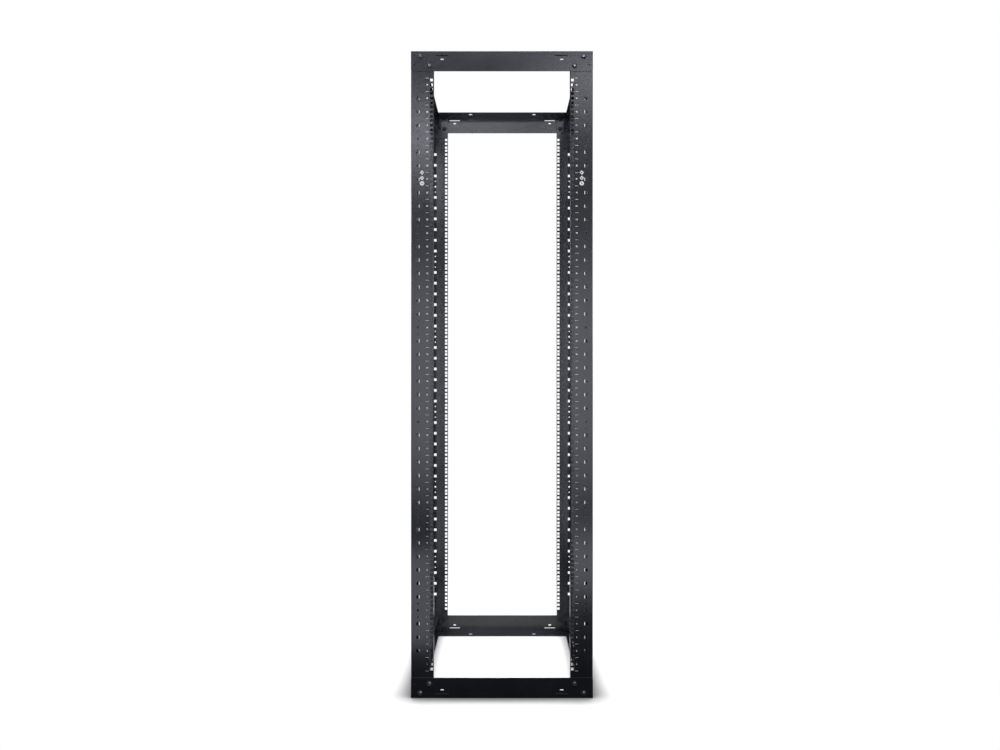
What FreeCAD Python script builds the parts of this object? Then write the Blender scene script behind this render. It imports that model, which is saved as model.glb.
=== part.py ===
import FreeCAD, Part
import os
import re

import Sketcher

# A four post open frame rack for 19 inch equipment, in millimetres: +X to the right seen from the
# front, +Y to the rear, +Z up, with the origin at the middle of the footprint on the floor.

SIZES = {
    # whole rack: its width is the opening for the equipment and a post face on each side, and
    # its height is the units and a margin at each end
    "bay_opening": 450,
    "post_face": 75,
    "rack_depth": 749,
    "unit_count": 44,
    "unit_pitch": 44.45,
    "end_margin": 89.1,
    # equipment grid: a column of squares beside the opening, three to a unit, where unit_join
    # is the distance between the nearest squares of two units
    "hole_inset": 7.55,
    "square_hole": 9.5,
    "unit_join": 12.7,
    # posts: a face towards the equipment, a web at the side, and a turned edge on each
    "post_gauge": 2,
    "post_web": 76,
    "post_return": 16,
    "post_lip": 19,
    # outer hole column of the post faces: squares, with a group of round holes in each period
    "accessory_inset": 22.5,
    "accessory_square": 10.5,
    "accessory_bore": 7.5,
    "accessory_pilot": 5,
    "accessory_period": 7,
    # cross beams: an upright web at the face, its free corners rounded, and a level flange, with
    # strap slots beside the opening's edge
    "beam_gauge": 2,
    "beam_web": 67,
    "beam_flange": 68,
    "web_corner": 4,
    "slot_inset": 28,
    "long_slot_length": 43,
    "long_slot_height": 3,
    "long_slot_edge": 15,
    "oval_length": 11,
    "oval_height": 5,
    "oval_edge": 27,
    "anchor_place": 130,
    "anchor_edge": 40,
    "anchor_bore": 17.5,
    # side rails: channels open towards the middle of the rack
    "rail_gauge": 2,
    "rail_height": 75,
    "rail_flange": 38,
    "flange_gap": 4,
    "notch_gap": 3,
    # rail end brackets: angles behind the post faces
    "bracket_gauge": 3,
    "bracket_plate": 43,
    "bracket_leg": 46,
    "bracket_height": 84,
    # inside radius of every bend
    "bend_radius": 0.7,
    # bolt holes of a corner, measured from the side of the rack or from the opening's edge, and
    # from the rack's end
    "bolt_bore": 9,
    "tapped_bore": 6.8,
    "spare_bore": 5,
    "outer_bolt_side": 30.5,
    "outer_bolt_end": 18,
    "plate_bolt_side": 38,
    "plate_bolt_end": 42,
    "outer_spare_side": 12,
    "outer_spare_end": 46.5,
    "inner_bolt_inset": 14.5,
    "inner_bolt_end": 49,
    "inner_spare_inset": 14.5,
    "inner_spare_end": 17.5,
    "web_bolt_depth": 30,
    "web_bolt_spacing": 35,
}

X_AXIS, Y_AXIS, Z_AXIS = (FreeCAD.Vector(*axis) for axis in ((1, 0, 0), (0, 1, 0), (0, 0, 1)))

doc = FreeCAD.newDocument("open_frame_rack")
sheet = doc.addObject("Spreadsheet::Sheet", "sizes")
for row, (alias, number) in enumerate(SIZES.items(), start=1):
    sheet.set(f"A{row}", alias)
    sheet.set(f"B{row}", str(number))
    sheet.setAlias(f"B{row}", alias)
doc.recompute()


def linked(formula):
    """The formula with each size written as a reference to its cell."""
    def reference(word):
        return f"sizes.{word.group()}" if word.group() in SIZES else word.group()

    return re.sub(r"[a-z_]+", reference, formula)


def value(formula):
    """What the formula comes to with the sheet's present sizes."""
    return float(sheet.evalExpression(linked(formula)))


def point(place):
    return FreeCAD.Vector(value(place[0]), value(place[1]), 0)


# ---- sketches ----


def new_sketch(body, name, plane, lift="0"):
    """A sketch on one of the body's origin planes, moved by lift along the plane's normal."""
    sketch = body.newObject("Sketcher::SketchObject", name)
    support = next(f for f in body.Origin.OriginFeatures if f.Role == plane)
    sketch.AttachmentSupport = [(support, "")]
    sketch.MapMode = "FlatFace"
    sketch.setExpression("AttachmentOffset.Base.z", linked(lift))
    return sketch


def drive(sketch, kind, geometry, *rest):
    """A dimension of the sketch whose value is a formula of the sheet."""
    *place, formula = rest
    index = sketch.addConstraint(Sketcher.Constraint(kind, geometry, *place, value(formula)))
    sketch.setExpression(f"Constraints[{index}]", linked(formula))


def pin(sketch, geometry, point, across, along):
    drive(sketch, "DistanceX", geometry, point, across)
    drive(sketch, "DistanceY", geometry, point, along)


def outline(sketch, corners):
    """A closed outline of level and upright sides through corners, each a pair of formulas.

    A third formula in a corner is the radius of the bend that rounds it.
    """
    ends = [bend_ends(corners, number) for number in range(len(corners))]
    sides = []
    for start, end in zip(ends, ends[1:] + ends[:1]):
        side = sketch.addGeometry(Part.LineSegment(point(start[-1]), point(end[0])), False)
        pin(sketch, side, 1, *start[-1])
        if len(end) == 2:
            pin(sketch, side, 2, *end[0])
        sides.append(side)
    for number, corner in enumerate(corners):
        before, after = sides[number - 1], sides[number]
        if len(corner) == 3:
            round_corner(sketch, before, after, ends[number], corner[:2])
        else:
            sketch.addConstraint(Sketcher.Constraint("Coincident", before, 2, after, 1))


def bend_ends(corners, number):
    """Where the two sides of a corner stop: at the corner, or one radius short of it."""
    across, along, *radius = corners[number]
    if not radius:
        return [(across, along)]
    ends = []
    for neighbour in (corners[number - 1], corners[(number + 1) % len(corners)]):
        shift = point(neighbour) - point((across, along))
        sign = "+" if shift.x + shift.y > 0 else "-"
        step = f" {sign} ({radius[0]})"
        ends.append((across + step, along) if abs(shift.x) > abs(shift.y) else (across, along + step))
    return ends


def round_corner(sketch, before, after, ends, corner):
    """A quarter turn between the ends of two sides, which stop one radius short of a corner."""
    start, end, apex = point(ends[0]), point(ends[1]), point(corner)
    centre = start + end - apex
    middle = centre + (apex - centre) / 2**0.5
    turns_left = (apex - start).cross(end - apex).z > 0
    span = (start, middle, end) if turns_left else (end, middle, start)
    arc = sketch.addGeometry(Part.Arc(*span), False)
    first, last = (1, 2) if turns_left else (2, 1)
    sketch.addConstraint(Sketcher.Constraint("Coincident", before, 2, arc, first))
    sketch.addConstraint(Sketcher.Constraint("Coincident", arc, last, after, 1))
    level_end = ends[0] if ends[0][0] != corner[0] else ends[1]
    drive(sketch, "DistanceX", arc, 3, level_end[0])


def rectangle(sketch, across, along, length, height):
    """A rectangle centred on (across, along)."""
    left, right = (f"{across} {sign} ({length}) / 2" for sign in "-+")
    low, high = (f"{along} {sign} ({height}) / 2" for sign in "-+")
    outline(sketch, [(left, low), (right, low), (right, high), (left, high)])


def circle(sketch, across, along, diameter):
    ring = Part.Circle(point((across, along)), Z_AXIS, value(diameter) / 2)
    index = sketch.addGeometry(ring, False)
    pin(sketch, index, 3, across, along)
    drive(sketch, "Diameter", index, diameter)


def slot(sketch, across, along, length, height):
    """A slot with round ends centred on (across, along), its length along the first axis."""
    reach = f"(({length}) - ({height})) / 2"
    ends = [f"{across} - {reach}", f"{across} + {reach}"]
    low, high = (f"{along} {sign} ({height}) / 2" for sign in "-+")
    corners = [(ends[0], low), (ends[1], low), (ends[1], high), (ends[0], high)]
    points = [point(corner) for corner in corners]
    outward = FreeCAD.Vector(value(height) / 2, 0, 0)
    middle = [(points[1] + points[2]) / 2 + outward, (points[3] + points[0]) / 2 - outward]
    edges = [
        Part.LineSegment(points[0], points[1]),
        Part.Arc(points[1], middle[0], points[2]),
        Part.LineSegment(points[2], points[3]),
        Part.Arc(points[3], middle[1], points[0]),
    ]
    bottom, right, top, left = sketch.addGeometry(edges, False)
    for side, start, end in ((bottom, 0, 1), (top, 2, 3)):
        pin(sketch, side, 1, *corners[start])
        pin(sketch, side, 2, *corners[end])
    for arc, before, after, end in ((right, bottom, top, ends[1]), (left, top, bottom, ends[0])):
        sketch.addConstraint(Sketcher.Constraint("Coincident", before, 2, arc, 1))
        sketch.addConstraint(Sketcher.Constraint("Coincident", arc, 2, after, 1))
        drive(sketch, "DistanceX", arc, 3, end)


# ---- features ----


def new_body(name, x="0", y="0", z="0"):
    body = doc.addObject("PartDesign::Body", name)
    for axis, formula in zip("xyz", (x, y, z)):
        body.setExpression(f"Placement.Base.{axis}", linked(formula))
    return body


def pad(body, sketch, length, both_ways=False):
    feature = body.newObject("PartDesign::Pad", sketch.Name + "_pad")
    feature.Profile = sketch
    feature.Refine = False
    feature.SideType = "Symmetric" if both_ways else "One side"
    feature.setExpression("Length", linked(length))
    return feature


def cut(body, sketch, depth, along_normal=False):
    """A pocket, against the sketch plane's normal unless along_normal."""
    feature = body.newObject("PartDesign::Pocket", sketch.Name + "_cut")
    feature.Profile = sketch
    feature.Refine = False
    feature.Reversed = along_normal
    feature.setExpression("Length", linked(depth))
    return feature


def repeat(body, original, axis, count, spacing):
    """Evenly spaced copies of a feature along one axis of its sketch."""
    pattern = body.newObject("PartDesign::LinearPattern", original.Name + "_row")
    pattern.Originals = [original]
    pattern.Refine = False
    pattern.Direction = (original.Profile[0], [axis])
    pattern.Mode = "Spacing"
    pattern.setExpression("Offset", linked(spacing))
    pattern.setExpression("Occurrences", linked(count))
    body.Tip = pattern


def mirrored(source, name, normal, height="0"):
    """The mirror image of a sub-part in a plane through the rack's middle."""
    image = doc.addObject("Part::Mirroring", name)
    image.Source = source
    image.Normal = normal
    image.setExpression("Base.z", linked(height))
    return image


def both_ends(end):
    """Heights of a thing at the same distance from the rack's bottom and from its top."""
    return (end, f"{RACK_HEIGHT} - ({end})")


# ---- sub-parts ----

RACK_SIDE = "(bay_opening / 2 + post_face)"
POST_END = "(beam_gauge + bend_radius)"
RAIL_MIDDLE = "(beam_gauge + rail_height / 2)"
RACK_HEIGHT = "(unit_count * unit_pitch + 2 * end_margin)"
SECOND_UNIT = "(end_margin + unit_pitch)"
PLAIN_UNITS = 2  # the lowest and the highest, which have no accessory hole
PERIODS = f"floor((unit_count - {PLAIN_UNITS}) / accessory_period)"
SLOT_PLACE = "(bay_opening / 2 - slot_inset)"

# Round holes of a corner: place from the rack's side, place from its end and diameter. The first
# group goes through the beam and the post, and the inner spare hole through the beam alone.
FACE_HOLES = (
    ("outer_bolt_side", "outer_bolt_end", "bolt_bore"),
    ("post_face - inner_bolt_inset", "inner_bolt_end", "bolt_bore"),
    ("outer_spare_side", "outer_spare_end", "spare_bore"),
)
INNER_SPARE = ("post_face - inner_spare_inset", "inner_spare_end", "spare_bore")
PLATE_BOLT = ("plate_bolt_side", "plate_bolt_end", "tapped_bore")


def post_section(post, name, lift):
    """The post's section: face, return, web and lip."""
    section = new_sketch(post, name, "XY_Plane", lift)
    outer = "bend_radius + post_gauge"
    outline(
        section,
        [
            ("0", "0", outer),
            ("post_face", "0", outer),
            ("post_face", "post_return"),
            ("post_face - post_gauge", "post_return"),
            ("post_face - post_gauge", "post_gauge", "bend_radius"),
            ("post_gauge", "post_gauge", "bend_radius"),
            ("post_gauge", "post_web - post_gauge", "bend_radius"),
            ("post_lip", "post_web - post_gauge"),
            ("post_lip", "post_web"),
            ("0", "post_web", outer),
        ],
    )
    return section


def make_post():
    """Front left post: face at y = 0 to post_gauge, web at x = 0 to post_gauge."""
    post = new_body("front_left_post", f"-{RACK_SIDE}", "-rack_depth / 2 + beam_gauge")
    foot = f"{SECOND_UNIT} - {POST_END}"
    period = "unit_pitch * accessory_period"
    pad(post, post_section(post, "foot_section", POST_END), foot)
    length = pad(post, post_section(post, "period_section", SECOND_UNIT), period)
    repeat(post, length, "N_Axis", PERIODS, period)
    head = f"{SECOND_UNIT} + {PERIODS} * {period}"
    top = f"{RACK_HEIGHT} - {POST_END}"
    pad(post, post_section(post, "head_section", head), f"{top} - ({head})")

    notch = new_sketch(post, "lip_notch", "XZ_Plane", "-post_web")
    height = "beam_gauge + rail_height + notch_gap"
    for end in both_ends(f"({height}) / 2"):
        rectangle(notch, "(post_lip + post_gauge) / 2", end, "post_lip - post_gauge", height)
    cut(post, notch, "post_gauge + bend_radius", along_normal=True)

    corner = new_sketch(post, "post_bolts", "XZ_Plane")
    for side, end, diameter in (*FACE_HOLES, PLATE_BOLT):
        for height in both_ends(end):
            circle(corner, side, height, diameter)
    cut(post, corner, "2 * post_gauge")

    side = new_sketch(post, "post_web_bolts", "YZ_Plane")
    for sign in "-+":
        for height in both_ends(f"{RAIL_MIDDLE} {sign} web_bolt_spacing / 2"):
            circle(side, "web_bolt_depth", height, "bolt_bore")
    cut(post, side, "2 * post_gauge", along_normal=True)

    add_accessory_holes(post)
    units = new_sketch(post, "unit_holes", "XZ_Plane")
    column = "post_face - hole_inset"
    for height in ("unit_join / 2", "unit_pitch / 2", "unit_pitch - unit_join / 2"):
        rectangle(units, column, f"end_margin + {height}", "square_hole", "square_hole")
    repeat(post, cut(post, units, "2 * post_gauge"), "V_Axis", "unit_count", "unit_pitch")
    return post


def add_accessory_holes(post):
    """The outer column: a hole or group level with each unit but the lowest and the highest."""

    def level(place):
        return f"{SECOND_UNIT} + unit_pitch * {place + 0.5}"

    period = SIZES["accessory_period"]
    middle = period // 2
    squares = new_sketch(post, "accessory_squares", "XZ_Plane")
    for place in [*range(middle), *range(middle + 1, period)]:
        rectangle(squares, "accessory_inset", level(place), "accessory_square", "accessory_square")
    rounds = new_sketch(post, "accessory_rounds", "XZ_Plane")
    circle(rounds, "accessory_inset", level(middle), "accessory_bore")
    for sign in "-+":
        height = f"{level(middle)} {sign} unit_pitch / 2"
        circle(rounds, "accessory_inset", height, "accessory_pilot")
    for holes in (squares, rounds):
        first = cut(post, holes, "2 * post_gauge")
        repeat(post, first, "V_Axis", PERIODS, "unit_pitch * accessory_period")

    places = SIZES["unit_count"] - PLAIN_UNITS
    rest = range(places - places % period, places)
    if rest:
        above = new_sketch(post, "accessory_head_squares", "XZ_Plane")
        for place in rest:
            rectangle(above, "accessory_inset", level(place), "accessory_square", "accessory_square")
        cut(post, above, "2 * post_gauge")


def make_beam():
    """Bottom front beam: web at y = 0 to beam_gauge, flange at z = 0 to beam_gauge."""
    beam = new_body("bottom_front_beam", y="-rack_depth / 2")
    section = new_sketch(beam, "beam_section", "YZ_Plane")
    outline(
        section,
        [
            ("0", "0", "bend_radius + beam_gauge"),
            ("beam_flange", "0"),
            ("beam_flange", "beam_gauge"),
            ("beam_gauge", "beam_gauge", "bend_radius"),
            ("beam_gauge", "beam_web"),
            ("0", "beam_web"),
        ],
    )
    length = pad(beam, section, f"2 * {RACK_SIDE}", both_ways=True)
    doc.recompute()
    round_web_corners(beam, length)

    web = new_sketch(beam, "web_holes", "XZ_Plane")
    flange = new_sketch(beam, "flange_holes", "XY_Plane")
    for sign in ("-", ""):
        slot(web, f"{sign}{SLOT_PLACE}", "long_slot_edge", "long_slot_length", "long_slot_height")
        slot(web, f"{sign}{SLOT_PLACE}", "oval_edge", "oval_length", "oval_height")
        circle(flange, f"{sign}anchor_place", "anchor_edge", "anchor_bore")
        for side, end, diameter in (*FACE_HOLES, INNER_SPARE):
            circle(web, f"{sign}({RACK_SIDE} - ({side}))", end, diameter)
    cut(beam, web, "2 * beam_gauge")
    cut(beam, flange, "2 * beam_gauge", along_normal=True)
    return beam


def round_web_corners(beam, length):
    """Rounds the two free corners of a beam's web: the short edges at the web's full height."""
    top = value("beam_web")
    names = [
        f"Edge{number}"
        for number, edge in enumerate(length.Shape.Edges, start=1)
        if all(abs(v.Z - top) < 0.01 for v in edge.Vertexes) and edge.Length < top / 2
    ]
    corners = beam.newObject("PartDesign::Fillet", "web_corners")
    corners.Base = (length, names)
    corners.Refine = False
    corners.setExpression("Radius", linked("web_corner"))


def make_rail():
    """Bottom left side rail: web at x = 0 to rail_gauge, flanges towards +x, standing on z = 0."""
    rail = new_body("bottom_left_side_rail", f"-{RACK_SIDE} + post_gauge", z="beam_gauge")
    section = new_sketch(rail, "rail_section", "XZ_Plane")
    high = "rail_height - rail_gauge"
    outer = "bend_radius + rail_gauge"
    outline(
        section,
        [
            ("0", "0", outer),
            ("rail_flange", "0"),
            ("rail_flange", "rail_gauge"),
            ("rail_gauge", "rail_gauge", "bend_radius"),
            ("rail_gauge", high, "bend_radius"),
            ("rail_flange", high),
            ("rail_flange", "rail_height"),
            ("0", "rail_height", outer),
        ],
    )
    length = "(rack_depth - 2 * (beam_gauge + post_gauge + bracket_gauge))"
    pad(rail, section, length, both_ways=True)

    # The flange towards the bay stops short of the bracket's leg at each end.
    setback = new_sketch(rail, "flange_setback", "XY_Plane", "rail_height")
    reach = "(bracket_leg - bracket_gauge + flange_gap)"
    for sign in "-+":
        middle = f"{sign}({length} - {reach}) / 2"
        rectangle(setback, "(rail_flange + rail_gauge) / 2", middle, "rail_flange - rail_gauge", reach)
    cut(rail, setback, "rail_gauge + bend_radius")

    holes = new_sketch(rail, "rail_bolts", "YZ_Plane")
    for sign in ("-", ""):
        for step in "-+":
            bolt_y = f"{sign}(rack_depth / 2 - beam_gauge - web_bolt_depth)"
            circle(holes, bolt_y, f"rail_height / 2 {step} web_bolt_spacing / 2", "bolt_bore")
    cut(rail, holes, "2 * rail_gauge", along_normal=True)
    return rail


def make_bracket():
    """Bottom front left bracket: plate at y = 0 to bracket_gauge, leg at x = 0 to bracket_gauge."""
    base = "(beam_gauge + rail_gauge + bend_radius)"
    bracket = new_body(
        "bottom_front_left_bracket",
        f"-{RACK_SIDE} + post_gauge + rail_gauge",
        "-rack_depth / 2 + beam_gauge + post_gauge",
    )
    section = new_sketch(bracket, "bracket_section", "XY_Plane", base)
    outline(
        section,
        [
            ("0", "0", "bend_radius + bracket_gauge"),
            ("bracket_plate", "0"),
            ("bracket_plate", "bracket_gauge"),
            ("bracket_gauge", "bracket_gauge", "bend_radius"),
            ("bracket_gauge", "bracket_leg"),
            ("0", "bracket_leg"),
        ],
    )
    pad(bracket, section, "bracket_height")

    plate = new_sketch(bracket, "plate_bolts", "XZ_Plane")
    for side, end in (("outer_bolt_side", "outer_bolt_end"), ("plate_bolt_side", "plate_bolt_end")):
        circle(plate, f"{side} - post_gauge - rail_gauge", end, "bolt_bore")
    cut(bracket, plate, "2 * bracket_gauge")

    leg = new_sketch(bracket, "leg_bolts", "YZ_Plane")
    for sign in "-+":
        height = f"{RAIL_MIDDLE} {sign} web_bolt_spacing / 2"
        circle(leg, "web_bolt_depth - post_gauge", height, "bolt_bore")
    cut(bracket, leg, "2 * bracket_gauge", along_normal=True)
    return bracket


# ---- the rack ----

HALF_HEIGHT = f"{RACK_HEIGHT} / 2"

post = make_post()
right_post = mirrored(post, "front_right_post", X_AXIS)
posts = [post, right_post]
posts += [mirrored(post, "rear_left_post", Y_AXIS), mirrored(right_post, "rear_right_post", Y_AXIS)]

beam = make_beam()
top_beam = mirrored(beam, "top_front_beam", Z_AXIS, HALF_HEIGHT)
beams = [beam, top_beam]
beams += [mirrored(beam, "bottom_rear_beam", Y_AXIS), mirrored(top_beam, "top_rear_beam", Y_AXIS)]

rail = make_rail()
top_rail = mirrored(rail, "top_left_side_rail", Z_AXIS, HALF_HEIGHT)
rails = [rail, top_rail]
rails.append(mirrored(rail, "bottom_right_side_rail", X_AXIS))
rails.append(mirrored(top_rail, "top_right_side_rail", X_AXIS))

bracket = make_bracket()
brackets = [bracket, mirrored(bracket, "top_front_left_bracket", Z_AXIS, HALF_HEIGHT)]
brackets += [mirrored(b, b.Name.replace("left", "right"), X_AXIS) for b in list(brackets)]
brackets += [mirrored(b, b.Name.replace("front", "rear"), Y_AXIS) for b in list(brackets)]

doc.recompute()
nodes = posts + beams + rails + brackets
for item in doc.Objects:
    if {"Invalid", "Error"} & set(item.State):
        raise RuntimeError(f"{item.Label} failed: {item.State}")
for node in nodes:
    if node.Shape.isNull() or not node.Shape.isValid():
        raise RuntimeError(f"{node.Label} has no valid shape")

os.makedirs("parts", exist_ok=True)
for node in nodes:
    node.Shape.exportStep(f"parts/{node.Label}.step")
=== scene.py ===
import itertools
import math

import bmesh
import bpy
from mathutils import Matrix, Vector


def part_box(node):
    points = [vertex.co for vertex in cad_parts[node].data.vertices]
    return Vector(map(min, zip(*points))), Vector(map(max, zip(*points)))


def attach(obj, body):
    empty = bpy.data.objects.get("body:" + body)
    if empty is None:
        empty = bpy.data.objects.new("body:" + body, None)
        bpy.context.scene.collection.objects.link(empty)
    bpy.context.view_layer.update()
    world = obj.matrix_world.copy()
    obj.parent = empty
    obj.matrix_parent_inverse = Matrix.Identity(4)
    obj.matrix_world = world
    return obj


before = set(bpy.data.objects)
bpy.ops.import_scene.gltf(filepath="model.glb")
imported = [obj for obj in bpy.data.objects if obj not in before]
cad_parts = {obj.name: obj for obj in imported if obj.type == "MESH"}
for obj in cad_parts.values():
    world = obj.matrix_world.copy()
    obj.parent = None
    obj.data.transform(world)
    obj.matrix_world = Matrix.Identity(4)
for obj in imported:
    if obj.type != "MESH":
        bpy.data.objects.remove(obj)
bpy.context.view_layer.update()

bl_info = {
    "name": "Open Frame Rack Dressing",
    "version": (1, 0, 0),
    "blender": (4, 5, 0),
    "location": "View3D > Sidebar > Rack",
    "description": "Adds fasteners, unit marks and powder coat to a packed open frame rack",
    "category": "Object",
}

SIDES = (-1, 1)
WHITE = "ffffff"

# Fine detail of the fasteners, in metres, and the sides of what is turned.
FLANGE_CHAMFER = 0.0005
WASHER_CHAMFER = 0.0004
HEXAGON_CHAMFER = 0.0009
TIP_CHAMFER = 0.0007
TIP_START = 0.001  # how far inside its nut a bolt's tip begins
SOCKET_DEPTH = 0.0026
PRESS_GAP = 0.00002  # between a clinch nut and its hole
MOUTH_CHAMFER = (0.0002, 0.0003)  # of a clinch nut's thread: its width and depth
END_DEPTH = 0.0006  # of a bolt's end below the face of its clinch nut
END_CHAMFER = 0.0005
FLANGE_SIDES = 32
SHANK_SIDES = 20
TURN_SIDES = 36
HEAD_STEP = 15  # degrees between the rings of a round head
TOUCH = 1e-6

# Sizes of the surfaces' patterns, in metres.
PLATING_GRAIN = 0.0015
PHOSPHATE_CRYSTALS = 0.0008
INK_WEAR = 0.004
# Roughness of the two platings, from and to.
BLACK_ZINC = (0.24, 0.42)
ZINC_NICKEL = (0.15, 0.28)

# Numbers: height of the font's digits as a share of its size, the room between them, and what
# the height is divided by for the weight added to the strokes.
DIGIT_SHARE = 0.7
DIGIT_SPACING = 0.88
STROKE_DIVISOR = 14
# Marks: place from the middle mark, sides and hollow share of each.
MARK_SHAPES = ((1, 4, 0.42), (0, 4, 0.42), (-1, 28, 0.30))

# Sockets of a colour mix node, which have no names of their own.
MIX_FIRST, MIX_SECOND, MIX_RESULT = 6, 7, 2


# ---- where the steelwork is ----


def reach(node, axis):
    """How far a node's outermost face along an axis lies from the rack's middle."""
    low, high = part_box(node)
    return max(abs(low[axis]), abs(high[axis]))


RACK_SIDE = reach("front_left_post", 0)
RACK_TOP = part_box("top_front_beam")[1].z
BEAM_FACE = reach("bottom_front_beam", 1)
POST_FACE = reach("front_left_post", 1)
POST_BACK = reach("bottom_front_left_bracket", 1)
PLATE_BACK = reach("bottom_left_side_rail", 1)
PLATE_GAUGE = POST_BACK - PLATE_BACK
LEG_INSIDE = reach("bottom_front_left_bracket", 0) - PLATE_GAUGE
BAY_EDGE = abs(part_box("front_left_post")[1].x)
RAIL_LOW, RAIL_HIGH = (corner.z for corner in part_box("bottom_left_side_rail"))


def corners():
    """Each corner of the frame: signs of X and Y, and a function from distance to height."""
    for side, end in itertools.product(SIDES, SIDES):
        yield side, end, lambda distance: distance
        yield side, end, lambda distance: RACK_TOP - distance


# ---- settings ----


class FastenerSettings(bpy.types.PropertyGroup):
    """Sizes of the bolts and nuts, and their places at each corner."""

    shank: bpy.props.FloatProperty(
        name="Shank", description="Diameter of the bolts", default=0.008, unit="LENGTH"
    )
    bore: bpy.props.FloatProperty(
        name="Bore", description="Diameter of their holes", default=0.009, unit="LENGTH"
    )
    across_flats: bpy.props.FloatProperty(
        name="Across flats", description="Width of the hexagons", default=0.013, unit="LENGTH"
    )
    flange: bpy.props.FloatProperty(
        name="Flange", description="Diameter of the washers and flanges", default=0.0178,
        unit="LENGTH",
    )
    flange_height: bpy.props.FloatProperty(
        name="Flange height", description="Thickness of a washer or flange", default=0.0012,
        unit="LENGTH",
    )
    button_height: bpy.props.FloatProperty(
        name="Button height", description="Height of a round head", default=0.0044, unit="LENGTH"
    )
    button_width: bpy.props.FloatProperty(
        name="Button width", description="Diameter of a round head", default=0.0106, unit="LENGTH"
    )
    button_mouth: bpy.props.FloatProperty(
        name="Button top", description="Diameter of a round head's flat top", default=0.0068,
        unit="LENGTH",
    )
    socket: bpy.props.FloatProperty(
        name="Socket", description="Width of a round head's hexagon socket", default=0.005,
        unit="LENGTH",
    )
    head_height: bpy.props.FloatProperty(
        name="Head height", description="Height of a hexagon head", default=0.0062, unit="LENGTH"
    )
    nut_height: bpy.props.FloatProperty(
        name="Nut height", description="Height of a nut with its flange", default=0.0078,
        unit="LENGTH",
    )
    tip: bpy.props.FloatProperty(
        name="Tip", description="Bolt showing past its nut", default=0.0035, unit="LENGTH"
    )
    outer_side: bpy.props.FloatProperty(
        name="Outer bolt, side", description="From the rack's side", default=0.0305, unit="LENGTH"
    )
    outer_end: bpy.props.FloatProperty(
        name="Outer bolt, end", description="From the rack's end", default=0.018, unit="LENGTH"
    )
    inner_inset: bpy.props.FloatProperty(
        name="Inner bolt, inset", description="From the bay's edge", default=0.0145, unit="LENGTH"
    )
    inner_end: bpy.props.FloatProperty(
        name="Inner bolt, end", description="From the rack's end", default=0.049, unit="LENGTH"
    )
    plate_side: bpy.props.FloatProperty(
        name="Plate bolt, side", description="From the rack's side", default=0.038, unit="LENGTH"
    )
    plate_end: bpy.props.FloatProperty(
        name="Plate bolt, end", description="From the rack's end", default=0.042, unit="LENGTH"
    )
    web_depth: bpy.props.FloatProperty(
        name="Web bolts, depth", description="From the post's face", default=0.030, unit="LENGTH"
    )
    web_spacing: bpy.props.FloatProperty(
        name="Web bolts, spacing", description="Between the two of a rail end", default=0.035,
        unit="LENGTH",
    )
    colour: bpy.props.StringProperty(
        name="Colour", description="Black zinc plating of the fasteners, hex", default="3a3b3e"
    )
    button_colour: bpy.props.StringProperty(
        name="Button colour", description="Plating of the round heads, hex", default="7a7b7e"
    )
    washer_colour: bpy.props.StringProperty(
        name="Washer colour", description="Phosphating of the washers, hex", default="070708"
    )


class MarkSettings(bpy.types.PropertyGroup):
    """The printed unit scale and the plain marks on the two front posts."""

    units: bpy.props.IntProperty(name="Units", description="Units numbered", default=44, min=1)
    pitch: bpy.props.FloatProperty(
        name="Unit", description="Height of one unit", default=0.04445, unit="LENGTH"
    )
    margin: bpy.props.FloatProperty(
        name="Margin", description="Below the first unit", default=0.0891, unit="LENGTH"
    )
    scale_inset: bpy.props.FloatProperty(
        name="Scale inset", description="Bay's edge to the middle of the scale", default=0.0215,
        unit="LENGTH",
    )
    tick_length: bpy.props.FloatProperty(
        name="Tick length", description="Length of a tick", default=0.0105, unit="LENGTH"
    )
    tick_width: bpy.props.FloatProperty(
        name="Tick width", description="Thickness of a tick", default=0.0010, unit="LENGTH"
    )
    digit_height: bpy.props.FloatProperty(
        name="Digit height", description="Height of the numbers", default=0.0045, unit="LENGTH"
    )
    ink_thickness: bpy.props.FloatProperty(
        name="Ink", description="Thickness of the ink", default=0.00008, unit="LENGTH", precision=5
    )
    mark_inset: bpy.props.FloatProperty(
        name="Mark inset", description="Bay's edge to the middle of the marks", default=0.0385,
        unit="LENGTH",
    )
    mark_height: bpy.props.FloatProperty(
        name="Mark height", description="Height of the middle mark", default=1.7155, unit="LENGTH"
    )
    mark_spacing: bpy.props.FloatProperty(
        name="Mark spacing", description="Between one mark and the next", default=0.018,
        unit="LENGTH",
    )
    mark_width: bpy.props.FloatProperty(
        name="Mark width", description="Width of one mark", default=0.0145, unit="LENGTH"
    )
    colour: bpy.props.StringProperty(
        name="Colour", description="Printing ink, hex", default="f4f5f6"
    )
    worn_colour: bpy.props.StringProperty(
        name="Worn colour", description="Ink where the coat shows through, hex", default="b4b7ba"
    )


class CoatSettings(bpy.types.PropertyGroup):
    """The powder coat of the steelwork."""

    colour: bpy.props.StringProperty(
        name="Colour", description="Main colour of the coat, hex", default="181a1f"
    )
    pale: bpy.props.StringProperty(
        name="Pale colour", description="Where the coat has dulled, hex", default="1d2026"
    )
    roughness: bpy.props.FloatProperty(
        name="Roughness", description="Roughness of the coat", default=0.22, subtype="FACTOR"
    )
    variation: bpy.props.FloatProperty(
        name="Variation", description="How far the roughness strays from that", default=0.012,
        subtype="FACTOR",
    )
    plate_extra: bpy.props.FloatProperty(
        name="Plate extra", description="Roughness that the bracket plates have more", default=0.06,
        subtype="FACTOR",
    )
    peel: bpy.props.FloatProperty(
        name="Orange peel", description="Distance between the waves of the coat", default=0.0045,
        unit="LENGTH",
    )
    mottle: bpy.props.FloatProperty(
        name="Mottle", description="Size of the patches of uneven gloss", default=0.070,
        unit="LENGTH",
    )


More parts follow.
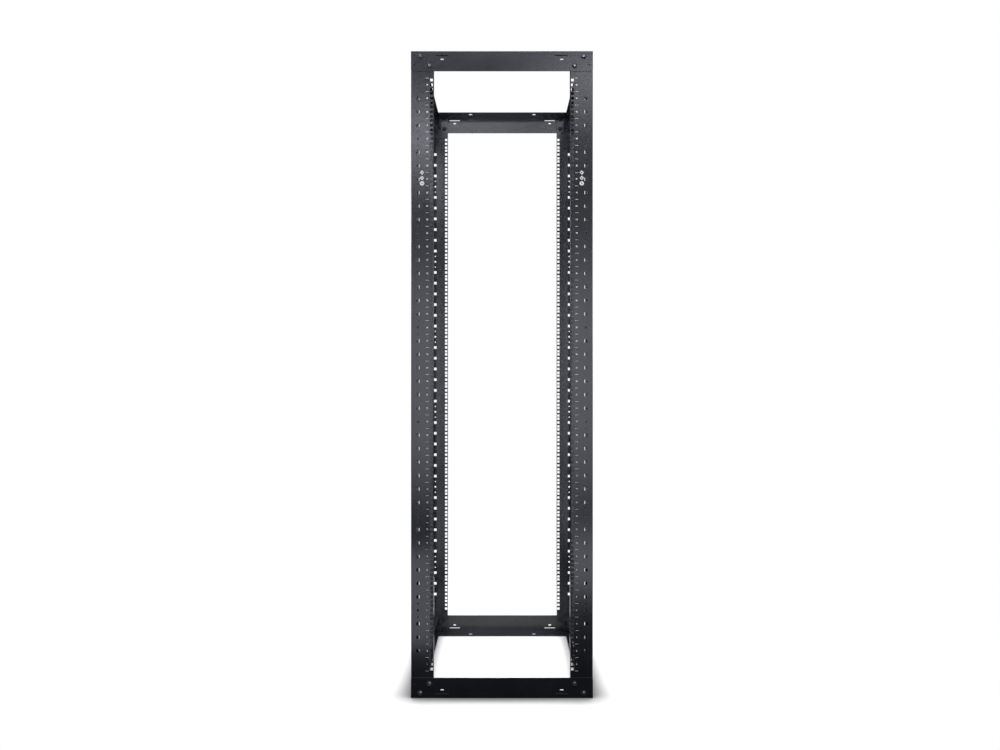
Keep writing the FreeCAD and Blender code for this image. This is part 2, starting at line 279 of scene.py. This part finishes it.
class StageSettings(bpy.types.PropertyGroup):
    """Floor, lamps and camera."""

    floor: bpy.props.StringProperty(name="Floor", description="Floor colour, hex", default="f7f7f7")
    floor_reach: bpy.props.FloatProperty(
        name="Floor reach", description="From the middle to the floor's edges", default=20,
        unit="LENGTH",
    )
    card: bpy.props.StringProperty(
        name="Card", description="Cards on the floor that only gloss shows, hex", default="202020"
    )
    plain_from: bpy.props.FloatProperty(
        name="Plain from", description="Distance at which the floor begins to fade out",
        default=0.2, unit="LENGTH",
    )
    plain_at: bpy.props.FloatProperty(
        name="Plain at", description="Distance at which the floor has become the backdrop",
        default=1.6, unit="LENGTH",
    )
    # Painted shade: an ambient occlusion node darkens the floor's colour close to the rack, over
    # this reach and with this power.
    shade_width: bpy.props.FloatProperty(
        name="Shade width", description="Reach of the shade that the rack casts close by",
        default=0.070, unit="LENGTH",
    )
    shade_power: bpy.props.FloatProperty(
        name="Shade power", description="How fast that shade darkens towards the rack", default=2.2
    )
    card_behind: bpy.props.FloatProperty(
        name="Card behind", description="Where the card behind starts, from the rack's middle",
        default=1.35, unit="LENGTH",
    )
    camera_distance: bpy.props.FloatProperty(
        name="Camera distance", description="From the beams' front", default=2.8905, unit="LENGTH"
    )
    camera_height: bpy.props.FloatProperty(
        name="Camera height", description="Above the floor", default=1.0708, unit="LENGTH"
    )
    camera_side: bpy.props.FloatProperty(
        name="Camera side", description="To the right of the middle", default=0.0054, unit="LENGTH"
    )
    lens: bpy.props.FloatProperty(
        name="Lens", description="Focal length", default=31.57, unit="CAMERA"
    )
    sensor: bpy.props.FloatProperty(
        name="Sensor", description="Width of the sensor", default=36, unit="CAMERA"
    )
    shift_x: bpy.props.FloatProperty(
        name="Shift across", description="Lens shift to the right", default=-0.00357, precision=5
    )
    shift_y: bpy.props.FloatProperty(
        name="Shift up", description="Lens shift upwards", default=-0.00163, precision=5
    )
    strip_colour: bpy.props.StringProperty(
        name="Strip colour", description="Light of the softboxes that only show in gloss, hex",
        default="f1f4ff",
    )
    ambient: bpy.props.FloatProperty(
        name="Ambient", description="Strength of the even light from all round", default=0.10,
        subtype="FACTOR",
    )


# ---- materials ----


def linear(code, alpha=1.0):
    """A linear colour from an sRGB hex value."""
    parts = [int(code[n : n + 2], 16) / 255 for n in (0, 2, 4)]
    return (*(c / 12.92 if c <= 0.04045 else ((c + 0.055) / 1.055) ** 2.4 for c in parts), alpha)


def add_node(tree, kind, settings=None, **links):
    """A node with its settings and socket values, linked from the sockets given by name."""
    node = tree.nodes.new(kind)
    for name, value in (settings or {}).items():
        if isinstance(name, int) or name in node.inputs:
            node.inputs[name].default_value = value
        else:
            setattr(node, name, value)
    for name, socket in links.items():
        tree.links.new(socket, node.inputs[name.replace("_", " ")])
    return node


def new_material(name):
    material = bpy.data.materials.new(name)
    material.use_nodes = True
    material.node_tree.nodes.clear()
    return material, material.node_tree


def finish_material(tree, shader):
    add_node(tree, "ShaderNodeOutputMaterial", Surface=shader)


def powder_coat(name, coat, roughness):
    """Black polyester powder coat, sprayed and baked, with a fine orange peel."""
    material, tree = new_material(name)
    place = add_node(tree, "ShaderNodeTexCoord").outputs["Object"]
    patches = add_node(
        tree, "ShaderNodeTexNoise", {"Scale": 1 / coat.mottle, "Detail": 1.5}, Vector=place
    )
    peel = add_node(
        tree, "ShaderNodeTexNoise", {"Scale": 1 / coat.peel, "Detail": 2.0}, Vector=place
    )
    colour = add_node(
        tree,
        "ShaderNodeMix",
        {"data_type": "RGBA", MIX_FIRST: linear(coat.colour), MIX_SECOND: linear(coat.pale)},
        Factor=patches.outputs["Fac"],
    )
    gloss = add_node(
        tree,
        "ShaderNodeMapRange",
        {
            "From Min": 0.3,
            "From Max": 0.7,
            "To Min": roughness - coat.variation,
            "To Max": roughness + coat.variation,
        },
        Value=patches.outputs["Fac"],
    )
    waves = add_node(
        tree,
        "ShaderNodeBump",
        {"Strength": 0.35, "Distance": 0.00025},
        Height=peel.outputs["Fac"],
    )
    shader = add_node(
        tree,
        "ShaderNodeBsdfPrincipled",
        {"IOR": 1.5},
        Base_Color=colour.outputs[MIX_RESULT],
        Roughness=gloss.outputs["Result"],
        Normal=waves.outputs["Normal"],
    )
    finish_material(tree, shader.outputs["BSDF"])
    return material


def plated_steel(name, colour, roughness):
    """Zinc or zinc nickel plated steel, tumbled, whose roughness lies between two values."""
    material, tree = new_material(name)
    place = add_node(tree, "ShaderNodeTexCoord").outputs["Object"]
    grain = add_node(
        tree, "ShaderNodeTexNoise", {"Scale": 1 / PLATING_GRAIN, "Detail": 3.0}, Vector=place
    )
    low, high = roughness
    gloss = add_node(
        tree, "ShaderNodeMapRange", {"To Min": low, "To Max": high}, Value=grain.outputs["Fac"]
    )
    dents = add_node(
        tree, "ShaderNodeBump", {"Strength": 0.25, "Distance": 0.0001}, Height=grain.outputs["Fac"]
    )
    shader = add_node(
        tree,
        "ShaderNodeBsdfPrincipled",
        {"Base Color": linear(colour), "Metallic": 1.0},
        Roughness=gloss.outputs["Result"],
        Normal=dents.outputs["Normal"],
    )
    finish_material(tree, shader.outputs["BSDF"])
    return material


def phosphated_steel(fasteners):
    """Black phosphated steel: a dull black crystal layer, oiled."""
    material, tree = new_material("black phosphated steel")
    place = add_node(tree, "ShaderNodeTexCoord").outputs["Object"]
    crystals = add_node(tree, "ShaderNodeTexNoise", {"Scale": 1 / PHOSPHATE_CRYSTALS}, Vector=place)
    gloss = add_node(
        tree, "ShaderNodeMapRange", {"To Min": 0.6, "To Max": 0.8}, Value=crystals.outputs["Fac"]
    )
    shader = add_node(
        tree,
        "ShaderNodeBsdfPrincipled",
        {"Base Color": linear(fasteners.washer_colour)},
        Roughness=gloss.outputs["Result"],
    )
    finish_material(tree, shader.outputs["BSDF"])
    return material


def printing_ink(marks):
    """White pad printing ink: flat, thin, and a little worn where the coat shows through."""
    material, tree = new_material("white printing ink")
    place = add_node(tree, "ShaderNodeTexCoord").outputs["Object"]
    wear = add_node(
        tree, "ShaderNodeTexNoise", {"Scale": 1 / INK_WEAR, "Detail": 3.0}, Vector=place
    )
    colour = add_node(tree, "ShaderNodeValToRGB", Fac=wear.outputs["Fac"])
    stops = ((0.25, marks.worn_colour), (0.5, marks.colour))
    for stop, (position, code) in zip(colour.color_ramp.elements, stops):
        stop.position = position
        stop.color = linear(code)
    shader = add_node(
        tree, "ShaderNodeBsdfPrincipled", {"Roughness": 0.6}, Base_Color=colour.outputs["Color"]
    )
    finish_material(tree, shader.outputs["BSDF"])
    return material


# ---- modelling ----


def new_piece(name, bm, material):
    """An object of the rack made from a bmesh, at the origin."""
    mesh = bpy.data.meshes.new(name)
    bm.to_mesh(mesh)
    bm.free()
    mesh.materials.append(material)
    piece = bpy.data.objects.new(name, mesh)
    bpy.context.scene.collection.objects.link(piece)
    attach(piece, "root")
    return piece


def drum(bm, radius, low, high, sides, chamfer=0.0):
    """A closed prism or cylinder on the Z axis between two heights, its top edge chamfered."""
    made = bmesh.ops.create_cone(
        bm, cap_ends=True, segments=sides, radius1=radius, radius2=radius, depth=high - low
    )
    bmesh.ops.translate(bm, verts=made["verts"], vec=(0, 0, (low + high) / 2))
    top = {v for v in made["verts"] if v.co.z > (low + high) / 2}
    rim = {edge for v in top for edge in v.link_edges if edge.other_vert(v) in top}
    if chamfer:
        bmesh.ops.bevel(
            bm, geom=list(rim), offset=chamfer, segments=2, profile=0.5, affect="EDGES", material=-1
        )


def hexagon(bm, sizes, high):
    """The hexagon of a head or nut, standing in its flange."""
    radius = sizes.across_flats / 2 / math.cos(math.pi / 6)
    drum(bm, radius, sizes.flange_height / 2, high, 6, HEXAGON_CHAMFER)


def hexagon_bolt(sizes, length):
    """A flange bolt whose hexagon head stands on z = 0 and whose shank runs down."""
    bm = bmesh.new()
    drum(bm, sizes.flange / 2, 0, sizes.flange_height, FLANGE_SIDES, FLANGE_CHAMFER)
    hexagon(bm, sizes, sizes.head_height)
    drum(bm, sizes.shank / 2, -length, sizes.flange_height / 2, SHANK_SIDES)
    return bm


def flange_nut(sizes):
    """A flange nut standing on z = 0, with the bolt's tip through it."""
    bm = bmesh.new()
    drum(bm, sizes.flange / 2, 0, sizes.flange_height, FLANGE_SIDES, FLANGE_CHAMFER)
    hexagon(bm, sizes, sizes.nut_height)
    low, high = sizes.nut_height - TIP_START, sizes.nut_height + sizes.tip
    drum(bm, sizes.shank / 2, low, high, SHANK_SIDES, TIP_CHAMFER)
    return bm


def lathe(bm, profile):
    """A surface turned about the Z axis from (radius, height) points."""
    line = [bm.verts.new((radius, 0, height)) for radius, height in profile]
    edges = [bm.edges.new(pair) for pair in zip(line, line[1:])]
    bmesh.ops.spin(
        bm, geom=line + edges, cent=(0, 0, 0), axis=(0, 0, 1), angle=2 * math.pi, steps=TURN_SIDES,
        use_merge=True,
    )


def button_bolt(sizes, length):
    """A bolt whose round head, with a hexagon socket, stands above the washer on z = 0."""
    bm = bmesh.new()
    base, top = sizes.flange_height, sizes.button_height
    mouth, crown = sizes.button_mouth / 2, sizes.button_width / 2
    turns = [math.radians(angle) for angle in range(90, -1, -HEAD_STEP)]
    lathe(
        bm,
        [(mouth + (crown - mouth) * math.sin(a), base + (top - base) * math.cos(a)) for a in turns],
    )
    socket = [edge for edge in bm.edges if edge.is_boundary and edge.verts[0].co.z > top - TOUCH]
    for depth in (0, SOCKET_DEPTH):
        ring = bmesh.ops.extrude_edge_only(bm, edges=socket)["geom"]
        for v in (v for v in ring if isinstance(v, bmesh.types.BMVert)):
            turn = math.atan2(v.co.y, v.co.x)
            radius = sizes.socket / 2 / math.cos((turn % (math.pi / 3)) - math.pi / 6)
            v.co = (radius * math.cos(turn), radius * math.sin(turn), top - depth)
        socket = [edge for edge in ring if isinstance(edge, bmesh.types.BMEdge)]
    bmesh.ops.holes_fill(bm, edges=[edge for edge in bm.edges if edge.is_boundary], sides=0)
    bmesh.ops.recalc_face_normals(bm, faces=bm.faces)
    drum(bm, sizes.shank / 2, -length, sizes.flange_height / 2, SHANK_SIDES)
    return bm


def flush_nut(sizes, depth):
    """A clinch nut pressed flush into a hole, its outer face at z = 0, with a bolt's end in it."""
    bm = bmesh.new()
    outer, inner = sizes.bore / 2 - PRESS_GAP, sizes.shank / 2
    wide, deep = MOUTH_CHAMFER
    lathe(bm, [(inner, -depth), (inner, -deep), (inner + wide, 0), (outer, 0), (outer, -depth)])
    drum(bm, inner, -depth, -END_DEPTH, SHANK_SIDES, END_CHAMFER)
    bmesh.ops.recalc_face_normals(bm, faces=bm.faces)
    return bm


def copies(bm, placements):
    """One bmesh with a copy of bm at each placement, a matrix. bm is used up."""
    mesh = bpy.data.meshes.new("pattern")
    bm.to_mesh(mesh)
    bm.free()
    joined = bmesh.new()
    for placement in placements:
        before = len(joined.verts)
        joined.from_mesh(mesh)
        joined.verts.ensure_lookup_table()
        bmesh.ops.transform(joined, matrix=placement, verts=joined.verts[before:])
    bpy.data.meshes.remove(mesh)
    return joined


def facing(position, direction):
    """A placement that turns +Z into a direction and moves the origin to a position."""
    turn = Vector(direction).to_track_quat("Z", "Y").to_matrix().to_4x4()
    return Matrix.Translation(position) @ turn


# ---- operators ----


class RACK_OT_steelwork(bpy.types.Operator):
    """Coat the posts, beams, rails and brackets"""

    bl_idname = "rack.steelwork"
    bl_label = "Coat Steelwork"

    def execute(self, context):
        coat = context.scene.rack_coat
        sheet = powder_coat("black powder coated steel", coat, coat.roughness)
        duller = coat.roughness + coat.plate_extra
        plate = powder_coat("black powder coated bracket plate", coat, duller)
        for name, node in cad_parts.items():
            node.data.materials.clear()
            node.data.materials.append(plate if name.endswith("bracket") else sheet)
        return {"FINISHED"}


class RACK_OT_face_bolts(bpy.types.Operator):
    """Add the bolts, washers and nuts that hold the beams to the posts"""

    bl_idname = "rack.face_bolts"
    bl_label = "Add Face Bolts"

    def execute(self, context):
        sizes = context.scene.rack_fasteners
        heads, nuts = [], []
        for side, end, height in corners():
            outer = (side * (RACK_SIDE - sizes.outer_side), height(sizes.outer_end), PLATE_BACK)
            inner = (side * (BAY_EDGE + sizes.inner_inset), height(sizes.inner_end), POST_BACK)
            for x, z, back in (outer, inner):
                heads.append(facing((x, end * BEAM_FACE, z), (0, end, 0)))
                nuts.append(facing((x, end * back, z), (0, -end, 0)))
        metal = plated_steel("black zinc plated steel", sizes.colour, BLACK_ZINC)
        bright = plated_steel("zinc nickel plated steel", sizes.button_colour, ZINC_NICKEL)
        washer = bmesh.new()
        drum(washer, sizes.flange / 2, 0, sizes.flange_height, FLANGE_SIDES, WASHER_CHAMFER)
        new_piece("face_washers", copies(washer, heads), phosphated_steel(sizes))
        new_piece("face_bolts", copies(button_bolt(sizes, BEAM_FACE - POST_BACK), heads), bright)
        new_piece("face_nuts", copies(flange_nut(sizes), nuts), metal)
        return {"FINISHED"}


class RACK_OT_rail_bolts(bpy.types.Operator):
    """Add the bolts of the rail end brackets, through the posts' faces and webs"""

    bl_idname = "rack.rail_bolts"
    bl_label = "Add Rail Bolts"

    def execute(self, context):
        sizes = context.scene.rack_fasteners
        middle = (RAIL_LOW + RAIL_HIGH) / 2
        plates, webs, nuts = [], [], []
        for side, end, height in corners():
            x = side * (RACK_SIDE - sizes.plate_side)
            plates.append(facing((x, end * PLATE_BACK, height(sizes.plate_end)), (0, -end, 0)))
            y = end * (POST_FACE - sizes.web_depth)
            for step in SIDES:
                z = height(middle + step * sizes.web_spacing / 2)
                webs.append(facing((side * LEG_INSIDE, y, z), (-side, 0, 0)))
                nuts.append(facing((side * RACK_SIDE, y, z), (side, 0, 0)))
        metal = bpy.data.materials["black zinc plated steel"]
        stack = RACK_SIDE - LEG_INSIDE
        new_piece("plate_bolts", copies(hexagon_bolt(sizes, PLATE_GAUGE), plates), metal)
        new_piece("web_bolts", copies(hexagon_bolt(sizes, stack / 2), webs), metal)
        new_piece("web_nuts", copies(flush_nut(sizes, stack / 2), nuts), metal)
        return {"FINISHED"}


def bar(bm, x, z, width, height):
    """A flat rectangle in the plane of a front face, centred on (x, z)."""
    made = bmesh.ops.create_grid(bm, x_segments=1, y_segments=1, size=0.5)
    bmesh.ops.scale(bm, verts=made["verts"], vec=(width, height, 1))
    bmesh.ops.rotate(bm, verts=made["verts"], matrix=Matrix.Rotation(math.pi / 2, 3, "X"))
    bmesh.ops.translate(bm, verts=made["verts"], vec=(x, 0, z))


def number_mesh(text, height):
    """A number as a flat mesh, centred on the origin in the XZ plane, facing -Y."""
    curve = bpy.data.curves.new("number", "FONT")
    curve.body = text
    curve.size = height / DIGIT_SHARE
    curve.space_character = DIGIT_SPACING
    curve.offset = height / STROKE_DIVISOR
    curve.resolution_u = 2
    curve.align_x = "CENTER"
    holder = bpy.data.objects.new("number", curve)
    bpy.context.scene.collection.objects.link(holder)
    graph = bpy.context.evaluated_depsgraph_get()
    mesh = bpy.data.meshes.new_from_object(holder.evaluated_get(graph))
    bpy.data.objects.remove(holder)
    bpy.data.curves.remove(curve)
    low = min(v.co.y for v in mesh.vertices)
    high = max(v.co.y for v in mesh.vertices)
    centred = Matrix.Translation((0, -(low + high) / 2, 0))
    mesh.transform(Matrix.Rotation(math.pi / 2, 4, "X") @ centred)
    return mesh


def print_on(bm, name, marks, ink):
    """Gives flat artwork the ink's thickness, on the front posts' faces."""
    made = bmesh.ops.extrude_face_region(bm, geom=bm.faces[:])
    raised = [v for v in made["geom"] if isinstance(v, bmesh.types.BMVert)]
    bmesh.ops.translate(bm, verts=raised, vec=(0, -marks.ink_thickness, 0))
    bmesh.ops.translate(bm, verts=bm.verts, vec=(0, -POST_FACE, 0))
    bmesh.ops.recalc_face_normals(bm, faces=bm.faces)
    new_piece(name, bm, ink)


class RACK_OT_unit_scale(bpy.types.Operator):
    """Print the unit ticks and numbers on both front posts"""

    bl_idname = "rack.unit_scale"
    bl_label = "Print Unit Scale"

    def execute(self, context):
        marks = context.scene.rack_marks
        ink = printing_ink(marks)
        x = BAY_EDGE + marks.scale_inset
        ticks = bmesh.new()
        for side, level in itertools.product(SIDES, range(marks.units + 1)):
            z = marks.margin + level * marks.pitch
            bar(ticks, side * x, z, marks.tick_length, marks.tick_width)
        print_on(ticks, "unit_ticks", marks, ink)
        numbers = bmesh.new()
        for unit in range(1, marks.units + 1):
            mesh = number_mesh(str(unit), marks.digit_height)
            for side in SIDES:
                before = len(numbers.verts)
                numbers.from_mesh(mesh)
                numbers.verts.ensure_lookup_table()
                z = marks.margin + (unit - 0.5) * marks.pitch
                bmesh.ops.translate(numbers, verts=numbers.verts[before:], vec=(side * x, 0, z))
            bpy.data.meshes.remove(mesh)
        print_on(numbers, "unit_numbers", marks, ink)
        return {"FINISHED"}


def flat_ring(bm, x, z, radius, hollow, sides):
    """A flat ring, round or of few sides, in the plane of a front face, centred on (x, z)."""
    loops = [
        bmesh.ops.create_circle(bm, segments=sides, radius=size)["verts"]
        for size in (radius, radius * hollow)
    ]
    edges = {edge for loop in loops for v in loop for edge in v.link_edges}
    bmesh.ops.bridge_loops(bm, edges=list(edges))
    verts = loops[0] + loops[1]
    bmesh.ops.rotate(bm, verts=verts, matrix=Matrix.Rotation(math.pi / 2, 3, "X"))
    bmesh.ops.translate(bm, verts=verts, vec=(x, 0, z))


class RACK_OT_marks(bpy.types.Operator):
    """Print the three plain marks on both front posts"""

    bl_idname = "rack.marks"
    bl_label = "Print Marks"

    def execute(self, context):
        marks = context.scene.rack_marks
        bm = bmesh.new()
        for side in SIDES:
            x = side * (BAY_EDGE + marks.mark_inset)
            for step, sides, hollow in MARK_SHAPES:
                z = marks.mark_height + step * marks.mark_spacing
                flat_ring(bm, x, z, marks.mark_width / 2, hollow, sides)
        print_on(bm, "post_marks", marks, bpy.data.materials["white printing ink"])
        return {"FINISHED"}


# Softboxes: name, place, the point each one faces, width, height, power in watts, and whether it
# lights surfaces and shows in their gloss.
LAMPS = (
    ("overhead_lamp", (0, 0, 3.6), (0, 0, 0), 4.0, 4.0, 170, True, True),
    ("front_fill", (0, -3.4, 2.5), (0, 0, 1.4), 2.6, 2.2, 42, True, False),
    ("upper_left_strip", (-0.75, -3.95, 2.81), (-0.2, 0, 1.9), 1.1, 0.20, 11.2, False, True),
    ("upper_right_strip", (0.85, -3.95, 3.25), (0.2, 0, 2.0), 1.2, 0.34, 10.5, False, True),
    ("right_middle_strip", (0.75, -3.95, 2.12), (0.26, 0, 1.6), 0.8, 0.5, 0.9, False, True),
    ("middle_strip", (0, -3.95, 1.03), (0, 0, 1.05), 1.9, 1.62, 28.5, False, True),
    ("low_left_strip", (-0.33, -0.77, 0.225), (-0.30, 0, 0.27), 0.5, 0.36, 1.05, False, True),
    ("low_right_strip", (0.40, -1.55, 0.19), (0.26, 0, 0.45), 0.6, 0.26, 1.35, False, True),
    ("rear_beam_strip", (-0.20, -1.0, 2.53), (0, 0.37, 2.1), 0.6, 0.2, 1.6, False, True),
    ("left_post_fill", (-0.262, -0.366, 1.25), (-0.262, 0, 1.25), 0.03, 1.6, 4, True, False),
    ("right_post_fill", (0.262, -0.366, 1.25), (0.262, 0, 1.25), 0.03, 1.6, 4, True, False),
    ("left_glint", (-2.4, -2.6, 2.0), (0, 0, 1.1), 0.7, 0.7, 40, False, True),
    ("right_glint", (2.4, -2.6, 1.6), (0, 0, 1.1), 0.7, 0.7, 40, False, True),
    ("right_lamp", (3.2, -0.6, 1.7), (0, 0, 1.1), 1.4, 2.4, 36, True, True),
    ("left_lamp", (-3.2, 0.6, 1.7), (0, 0, 1.1), 1.4, 2.4, 36, True, True),
    ("back_left_lamp", (-2.5, 3.3, 1.9), (0, 0, 1.1), 1.2, 1.8, 25, True, True),
    ("back_right_lamp", (2.5, 3.3, 1.9), (0, 0, 1.1), 1.2, 1.8, 25, True, True),
)


class RACK_OT_stage(bpy.types.Operator):
    """Lay the floor, hang the lamps and set the camera"""

    bl_idname = "rack.stage"
    bl_label = "Set Stage"

    def execute(self, context):
        stage = context.scene.rack_stage
        bm = bmesh.new()
        bmesh.ops.create_grid(bm, x_segments=1, y_segments=1, size=stage.floor_reach)
        mesh = bpy.data.meshes.new("floor")
        bm.to_mesh(mesh)
        bm.free()
        mesh.materials.append(floor_material(stage))
        floor = bpy.data.objects.new("floor", mesh)
        context.scene.collection.objects.link(floor)
        set_world(context.scene, stage)
        for row in LAMPS:
            lamp(stage, *row)
        set_camera(context.scene, stage)
        context.scene.view_settings.view_transform = "Standard"
        return {"FINISHED"}


def floor_material(stage):
    """Matt white paint that turns into the white backdrop away from the rack, with painted shade
    close to it.

    What the steel reflects of it in front and far behind is dark, as if black cards lay there.
    """
    material, tree = new_material("matt white floor paint")
    place = add_node(tree, "ShaderNodeTexCoord").outputs["Object"]
    distance = add_node(tree, "ShaderNodeVectorMath", {"operation": "LENGTH"}, Vector=place)
    fade = add_node(
        tree,
        "ShaderNodeMapRange",
        {
            "interpolation_type": "SMOOTHSTEP",
            "From Min": stage.plain_from,
            "From Max": stage.plain_at,
        },
        Value=distance.outputs["Value"],
    )
    # Painted shade: an ambient occlusion value, raised to a power, scales the floor paint's colour,
    # so the floor is darker next to the rack.
    painted_shade_ao = add_node(tree, "ShaderNodeAmbientOcclusion", {"Distance": stage.shade_width})
    shade = add_node(
        tree,
        "ShaderNodeMath",
        {"operation": "POWER", 1: stage.shade_power},
        Value=painted_shade_ao.outputs["AO"],
    )
    colour = add_node(
        tree,
        "ShaderNodeVectorMath",
        {"operation": "SCALE", "Vector": linear(stage.floor)[:3]},
        Scale=shade.outputs["Value"],
    )
    paint = add_node(tree, "ShaderNodeBsdfDiffuse", {}, Color=colour.outputs["Vector"])
    backdrop = add_node(tree, "ShaderNodeEmission", {"Color": linear(WHITE)})
    card = add_node(tree, "ShaderNodeBsdfDiffuse", {"Color": linear(stage.card)})
    depth = add_node(tree, "ShaderNodeSeparateXYZ", {}, Vector=place)
    half = (stage.card_behind + BEAM_FACE) / 2
    under = add_node(
        tree,
        "ShaderNodeMath",
        {"operation": "COMPARE", 1: half - BEAM_FACE, 2: half},
        Value=depth.outputs["Y"],
    )
    path = add_node(tree, "ShaderNodeLightPath")
    shown = mix_shaders(tree, fade.outputs["Result"], paint, backdrop)
    mirrored = mix_shaders(tree, under.outputs["Value"], card, paint)
    seen = mix_shaders(tree, path.outputs["Is Camera Ray"], mirrored, shown)
    finish_material(tree, seen.outputs[0])
    return material


def mix_shaders(tree, factor, first, second):
    mix = add_node(tree, "ShaderNodeMixShader", {}, Fac=factor)
    tree.links.new(first.outputs[0], mix.inputs[1])
    tree.links.new(second.outputs[0], mix.inputs[2])
    return mix


def set_world(scene, stage):
    """Even pale light from all round, white where it is seen."""
    world = bpy.data.worlds.new("studio")
    scene.world = world
    world.use_nodes = True
    tree = world.node_tree
    tree.nodes.clear()
    path = add_node(tree, "ShaderNodeLightPath")
    white = linear(WHITE)
    light = add_node(tree, "ShaderNodeBackground", {"Color": white, "Strength": stage.ambient})
    shown = add_node(tree, "ShaderNodeBackground", {"Color": white})
    mix = mix_shaders(tree, path.outputs["Is Camera Ray"], light, shown)
    add_node(tree, "ShaderNodeOutputWorld", Surface=mix.outputs["Shader"])


def lamp(stage, name, place, target, width, height, power, lighting, reflected):
    """A rectangular softbox, which the camera doesn't see."""
    data = bpy.data.lights.new(name, "AREA")
    data.shape = "RECTANGLE"
    data.size = width
    data.size_y = height
    data.energy = power
    if not lighting:
        data.color = linear(stage.strip_colour)[:3]
    holder = bpy.data.objects.new(name, data)
    holder.visible_camera = False
    holder.visible_diffuse = lighting
    holder.visible_glossy = reflected
    holder.location = place
    aim = Vector(target) - Vector(place)
    holder.rotation_euler = aim.to_track_quat("-Z", "Y").to_euler()
    bpy.context.scene.collection.objects.link(holder)


def set_camera(scene, stage):
    data = bpy.data.cameras.new("camera")
    data.sensor_width = stage.sensor
    data.lens = stage.lens
    data.shift_x = stage.shift_x
    data.shift_y = stage.shift_y
    camera = bpy.data.objects.new("camera", data)
    camera.location = (stage.camera_side, -BEAM_FACE - stage.camera_distance, stage.camera_height)
    camera.rotation_euler = (math.pi / 2, 0, 0)
    scene.collection.objects.link(camera)
    scene.camera = camera


# ---- add-on ----


class VIEW3D_PT_rack(bpy.types.Panel):
    """Settings and steps of the rack's dressing"""

    bl_label = "Open Frame Rack"
    bl_space_type = "VIEW_3D"
    bl_region_type = "UI"
    bl_category = "Rack"

    def draw(self, context):
        layout = self.layout
        for name, group in SETTINGS.items():
            settings = getattr(context.scene, name)
            for field in group.__annotations__:
                layout.prop(settings, field)
        for operator in OPERATORS:
            layout.operator(operator.bl_idname)


SETTINGS = {
    "rack_coat": CoatSettings,
    "rack_fasteners": FastenerSettings,
    "rack_marks": MarkSettings,
    "rack_stage": StageSettings,
}
OPERATORS = (
    RACK_OT_steelwork,
    RACK_OT_face_bolts,
    RACK_OT_rail_bolts,
    RACK_OT_unit_scale,
    RACK_OT_marks,
    RACK_OT_stage,
)


def register():
    for item in (*SETTINGS.values(), *OPERATORS, VIEW3D_PT_rack):
        bpy.utils.register_class(item)
    for name, group in SETTINGS.items():
        setattr(bpy.types.Scene, name, bpy.props.PointerProperty(type=group))


def unregister():
    for name in SETTINGS:
        delattr(bpy.types.Scene, name)
    for item in reversed((*SETTINGS.values(), *OPERATORS, VIEW3D_PT_rack)):
        bpy.utils.unregister_class(item)


def main():
    register()
    bpy.ops.rack.steelwork()
    bpy.ops.rack.face_bolts()
    bpy.ops.rack.rail_bolts()
    bpy.ops.rack.unit_scale()
    bpy.ops.rack.marks()
    bpy.ops.rack.stage()


if __name__ == "__main__":
    main()
